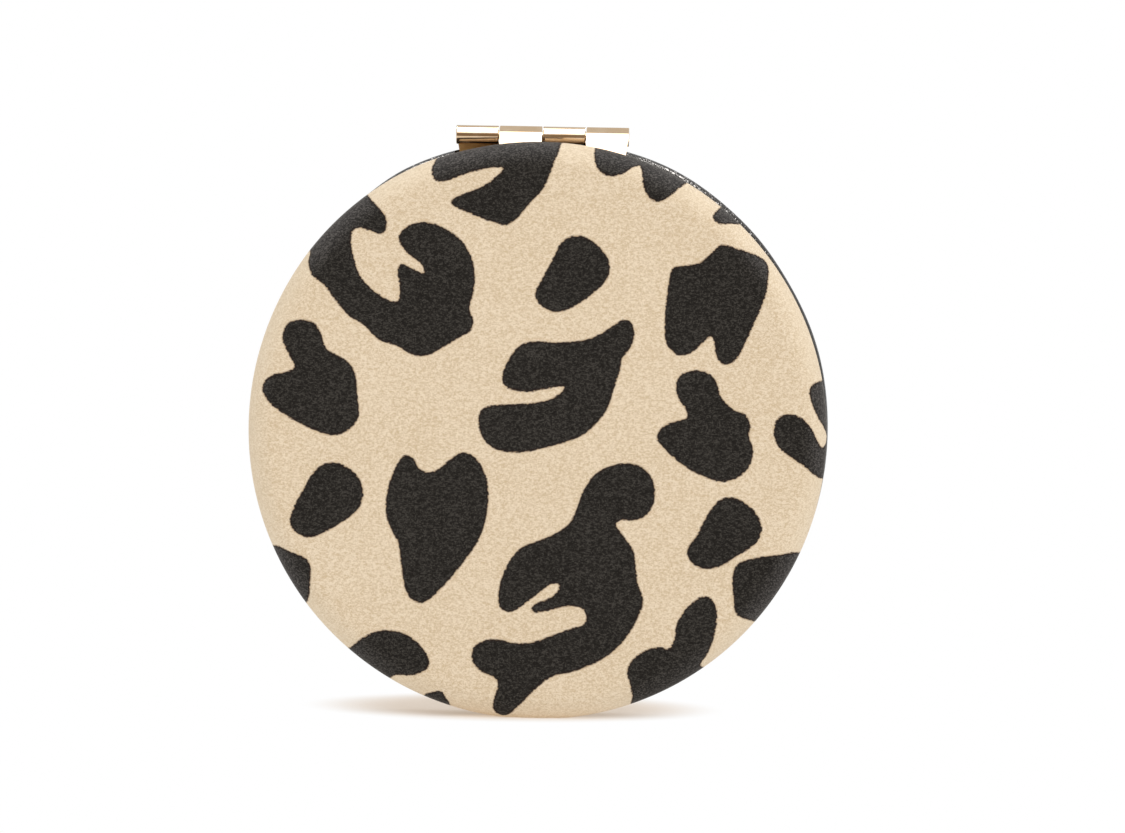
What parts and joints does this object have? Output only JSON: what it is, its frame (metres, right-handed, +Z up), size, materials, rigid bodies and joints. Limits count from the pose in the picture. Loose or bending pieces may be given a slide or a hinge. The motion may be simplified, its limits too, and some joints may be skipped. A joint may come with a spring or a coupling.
{
  "type": "compact mirror",
  "caption": "Round fabric-covered compact mirror that opens flat on a small metal hinge, with a plain mirror in the lid and a magnifying mirror in the base.",
  "frame": {"origin": "under the middle of the rim, on the plane where the two closed halves meet", "axes": "+X along the hinge, +Y through the thickness from the lid to the base, +Z up from the rim to the hinge"},
  "size_m": [0.07, 0.0106, 0.0715],
  "materials": {
    "printed_suede": "short napped faux suede, pale with a black animal-spot print",
    "black_cover": "black coated fabric with a fine grain and a slight gloss",
    "black_lining": "black coated fabric, fine grain",
    "foam": "open-cell foam",
    "shell_plastic": "moulded, matte",
    "mirror_glass": "silvered glass with a ground edge",
    "tape": "foam tape",
    "magnet_nickel": "nickel plated",
    "hinge_gold": "light gold plating, polished"
  },
  "bodies": {
    "base": {"base_cover": "black_cover", "base_pad": "foam", "base_shell": "shell_plastic", "base_lining": "black_lining", "base_mirror": "mirror_glass", "base_mirror_tape": "tape", "base_magnets": "magnet_nickel", "base_hinge_leaf": "hinge_gold", "base_leaf_rivets": "hinge_gold", "hinge_pin": "hinge_gold"},
    "lid": {"lid_cover": "printed_suede", "lid_pad": "foam", "lid_shell": "shell_plastic", "lid_lining": "black_lining", "lid_mirror": "mirror_glass", "lid_mirror_tape": "tape", "lid_magnets": "magnet_nickel", "lid_hinge_leaf": "hinge_gold", "lid_leaf_rivets": "hinge_gold"}
  },
  "joints": [
    {"name": "lid_hinge", "type": "hinge", "parent": "base", "child": "lid", "pos_m": [0, 0, 0.07035], "axis": [-1, 0, 0], "range_deg": [0, 180]}
  ]
}
